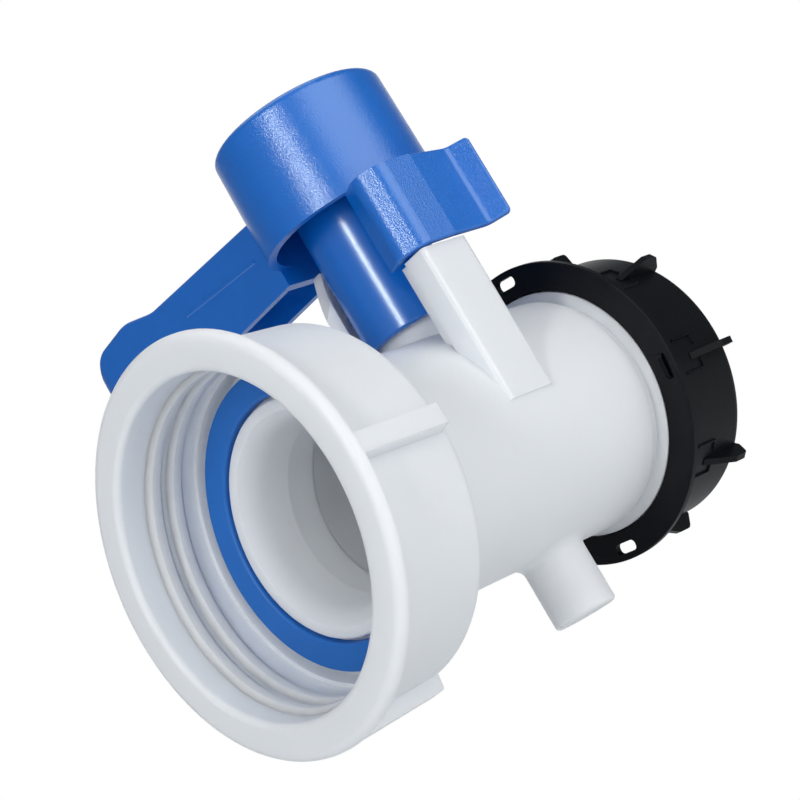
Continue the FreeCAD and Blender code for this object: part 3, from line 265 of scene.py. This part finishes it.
# Low raised pads on a cylinder round the flow axis, each from one x and one angle to
# another, with a narrower top.
def pads_on_cylinder(name, pads, wall_r, top_r, bevel, slot, body):
    points, faces = [], []
    slant = math.degrees(bevel / wall_r)
    for x_from, x_to, turn_from, turn_to in pads:
        base = len(points)
        for r, inset in ((wall_r - SUNK, 0.0), (top_r, 1.0)):
            for x, turn in ((x_from + bevel * inset, turn_from + slant * inset),
                            (x_to - bevel * inset, turn_from + slant * inset),
                            (x_to - bevel * inset, turn_to - slant * inset),
                            (x_from + bevel * inset, turn_to - slant * inset)):
                angle = math.radians(turn)
                points.append((x * MM, r * math.cos(angle) * MM, r * math.sin(angle) * MM))
        faces += [tuple(base + k for k in face) for face in BLOCK_FACES]
    return mesh_piece(name, points, faces, slot, body, smooth=False)


# A ridge in the shape of a U round the front end of each grip fin. Its four pads are two
# arms along the cap and two feet that end beside the fin, from one x to another in mm and
# from one turn to another in degrees from the fin.
CAP_R, CAP_RIDGE_R = 33.0, 33.5
FIN_COUNT, FIRST_FIN = 8, 8.5
U_PADS = ((91.5, 98.4, -9.2, -7.8), (91.5, 98.4, 5.1, 6.5),
          (97.6, 98.4, -9.2, -4.1), (97.6, 98.4, 1.6, 6.5))
fins = [FIRST_FIN + 360 / FIN_COUNT * number for number in range(FIN_COUNT)]
fin_pads = [(x_from, x_to, fin + turn_from, fin + turn_to)
            for fin in fins for x_from, x_to, turn_from, turn_to in U_PADS]
pads_on_cylinder("cap_ridges", fin_pads, wall_r=CAP_R, top_r=CAP_RIDGE_R, bevel=0.25,
                 slot="black_cap", body="cap")

# A faint straight ridge along the lever's near side, wide at its sunk foot and narrow on
# top, given by the y and z of its two ends.
LEVER_SIDE_X = STEM_X / MM - 10.0
LINE_FOOT, LINE_TOP = (LEVER_SIDE_X + 0.5, 1.1), (LEVER_SIDE_X - 0.22, 0.35)
LINE_ENDS = ((26.0, 68.9), (58.0, 72.0))
line_points = []
for x, half in (LINE_FOOT, LINE_TOP):
    for y, z in LINE_ENDS:
        line_points += [(x * MM, y * MM, (z - half) * MM), (x * MM, y * MM, (z + half) * MM)]
mesh_piece("lever_line", line_points,
           [(0, 1, 3, 2), (4, 6, 7, 5), (0, 2, 6, 4), (1, 5, 7, 3), (0, 4, 5, 1),
            (2, 3, 7, 6)], "blue_handle", "handle_and_disc", smooth=False)

# Plain pale floor well below the valve, and a white surround.
FLOOR_REACH, FLOOR_Z = 6.0, -0.16
floor_mesh = bpy.data.meshes.new("floor")
floor_mesh.from_pydata([(-FLOOR_REACH, -FLOOR_REACH, FLOOR_Z),
                        (FLOOR_REACH, -FLOOR_REACH, FLOOR_Z),
                        (FLOOR_REACH, FLOOR_REACH, FLOOR_Z),
                        (-FLOOR_REACH, FLOOR_REACH, FLOOR_Z)], [], [(0, 1, 2, 3)])
floor = bpy.data.objects.new("floor", floor_mesh)
bpy.context.scene.collection.objects.link(floor)
pale, tree, shader, place = new_material("pale_floor")
shader.inputs["Base Color"].default_value = (0.86, 0.87, 0.88, 1)
shader.inputs["Roughness"].default_value = 0.8
shader.inputs["Specular IOR Level"].default_value = 0.1
# The camera sees the floor mostly as white, and close to the valve a share of its real
# shade is kept, so that the shadow stays.
path = tree.nodes.new("ShaderNodeLightPath")
white = tree.nodes.new("ShaderNodeEmission")
white.inputs["Strength"].default_value = 1.0
away = vector_maths(tree, "DISTANCE", place.outputs["Object"], (0.045, 0.0, FLOOR_Z))
white_share = map_range(tree, away, 0.15, 0.75, 0.7, 1.0)
seen = maths(tree, "MULTIPLY", path.outputs["Is Camera Ray"], white_share)
mix = mixed(tree, seen, shader, white)
tree.links.new(mix.outputs[0], tree.nodes["Material Output"].inputs[0])
floor_mesh.materials.append(pale)

scene = bpy.context.scene
world = bpy.data.worlds.new("surround")
scene.world = world
world.use_nodes = True
tree = world.node_tree
tree.nodes.clear()
path = tree.nodes.new("ShaderNodeLightPath")
place = tree.nodes.new("ShaderNodeTexCoord")
# A white backdrop stands behind the valve, and glossy surfaces show it as well.
BEHIND = (0.69, 0.70, 0.18)
facing = vector_maths(tree, "DOT_PRODUCT", place.outputs["Generated"], BEHIND)
mirrored = maths(tree, "MULTIPLY", path.outputs["Is Glossy Ray"],
                 map_range(tree, facing, 0.80, 0.98))
seen = maths(tree, "MAXIMUM", path.outputs["Is Camera Ray"],
             path.outputs["Is Transmission Ray"])
seen = maths(tree, "MAXIMUM", seen, mirrored)
bright = tree.nodes.new("ShaderNodeBackground")
bright.inputs["Color"].default_value = (1, 1, 1, 1)
bright.inputs["Strength"].default_value = 1.0
soft = tree.nodes.new("ShaderNodeBackground")
soft.inputs["Color"].default_value = (0.86, 0.92, 1.0, 1)
soft.inputs["Strength"].default_value = 0.17
mix = mixed(tree, seen, soft, bright)
out = tree.nodes.new("ShaderNodeOutputWorld")
tree.links.new(mix.outputs[0], out.inputs[0])

# The camera's place and turn come from fitting the photo's round edges.
right = Vector((0.68341, -0.53515, -0.49655))
up = Vector((0.25511, -0.46222, 0.84928))
ahead = Vector((0.68401, 0.70708, 0.17937))
camera_data = bpy.data.cameras.new("camera")
camera_data.lens = 97.005
camera_data.sensor_width = 36.0
camera_data.clip_start = 0.01
camera = bpy.data.objects.new("camera", camera_data)
scene.collection.objects.link(camera)
turn = Matrix((right, up, -ahead)).transposed().to_4x4()
camera.matrix_world = Matrix.Translation((-0.291146, -0.342027, -0.069036)) @ turn
scene.camera = camera

VALVE_MIDDLE = Vector((0.045, 0.0, 0.02))


# A soft box lamp that faces the valve: the way to it, its distance, width and height in
# metres, its power in watts, and whether glossy surfaces mirror it.
def lamp(name, way, distance, wide, tall, power, mirrored=True):
    way = Vector(way).normalized()
    data = bpy.data.lights.new(name, "AREA")
    data.shape = "RECTANGLE"
    data.size = wide
    data.size_y = tall
    data.energy = power
    made = bpy.data.objects.new(name, data)
    made.location = VALVE_MIDDLE + way * distance
    made.rotation_euler = (-way).to_track_quat("-Z", "Y").to_euler()
    made.visible_camera = False
    made.visible_glossy = mirrored
    scene.collection.objects.link(made)


lamp("streak", (-0.887, -0.358, 0.292), 0.9, 0.08, 0.5, 2.5)
lamp("softbox", (0.050, -0.955, 0.292), 1.3, 1.5, 1.2, 8.9)
lamp("inlet", (-1.0, 0.1, 0.1), 1.2, 1.2, 1.2, 0.5)
lamp("low", (-0.70, -0.70, -0.12), 1.0, 1.2, 0.2, 1.3)
lamp("back", (0.50, 0.72, 0.48), 1.3, 1.2, 1.0, 6.0, mirrored=False)
lamp("top", (0.1, 0.1, 1.0), 1.2, 1.0, 1.0, 3.4)

scene.view_settings.view_transform = "Standard"
scene.view_settings.look = "None"
scene.view_settings.exposure = 0.0
